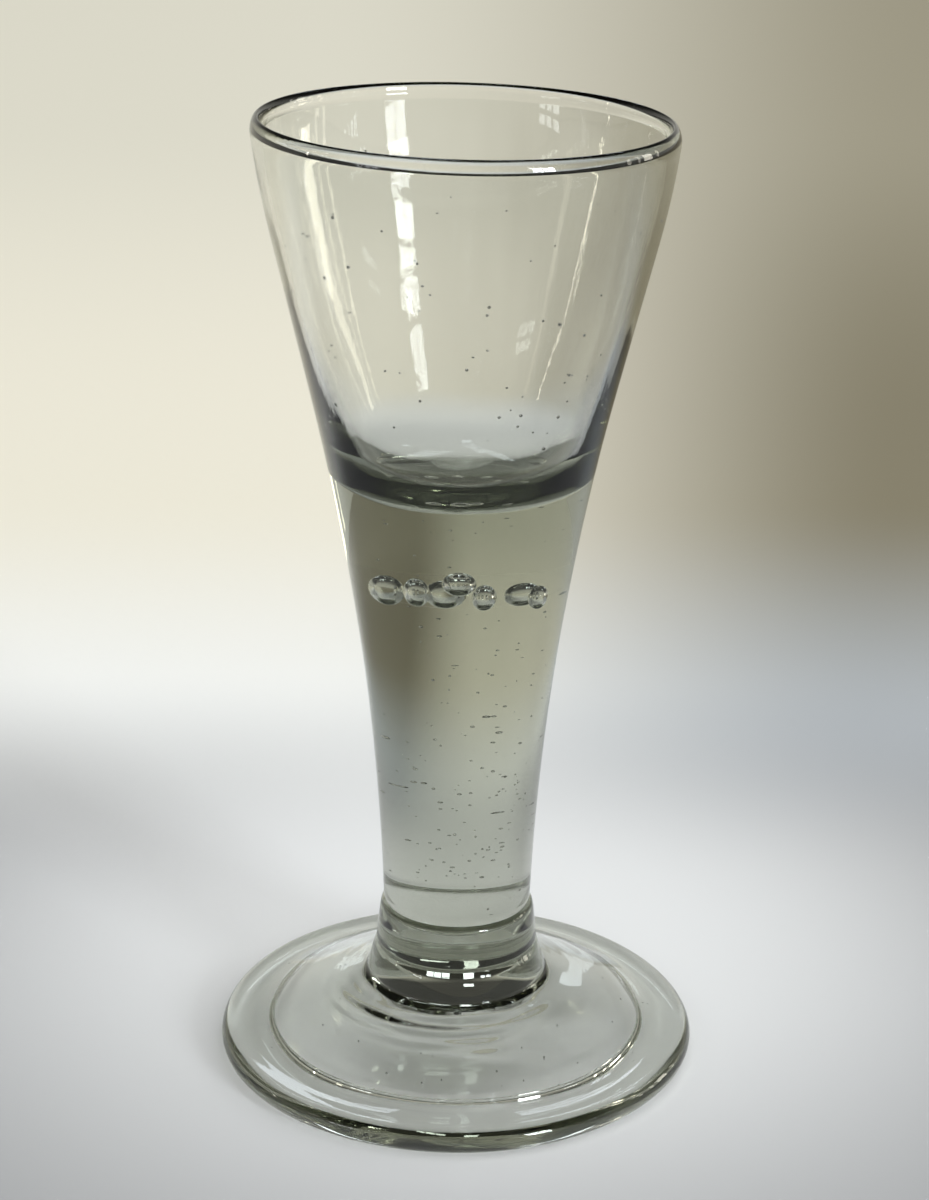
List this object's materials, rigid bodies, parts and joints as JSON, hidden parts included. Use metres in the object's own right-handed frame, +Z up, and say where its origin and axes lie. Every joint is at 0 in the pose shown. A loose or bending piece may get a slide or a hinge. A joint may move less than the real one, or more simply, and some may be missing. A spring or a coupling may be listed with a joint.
{
  "type": "stemmed glass",
  "caption": "Hand-blown drinking glass: trumpet bowl on a thick solid stem with a ring of air beads, a collar and a conical foot with a folded edge.",
  "frame": {"origin": "centre of the foot's resting plane, on the glass's axis", "axes": "+Z up along the axis, from the foot to the mouth; -Y is the side that the picture shows"},
  "size_m": [0.0812, 0.0812, 0.16],
  "materials": {
    "clear_glass": "fire-polished clear glass with a faint grey tint, seeds and tool marks",
    "snapped_glass": "rough, snapped glass"
  },
  "bodies": {
    "root": {"bowl": "clear_glass", "stem": "clear_glass", "collar": "clear_glass", "foot": "clear_glass", "pontil_scar": "snapped_glass"}
  },
  "joints": []
}
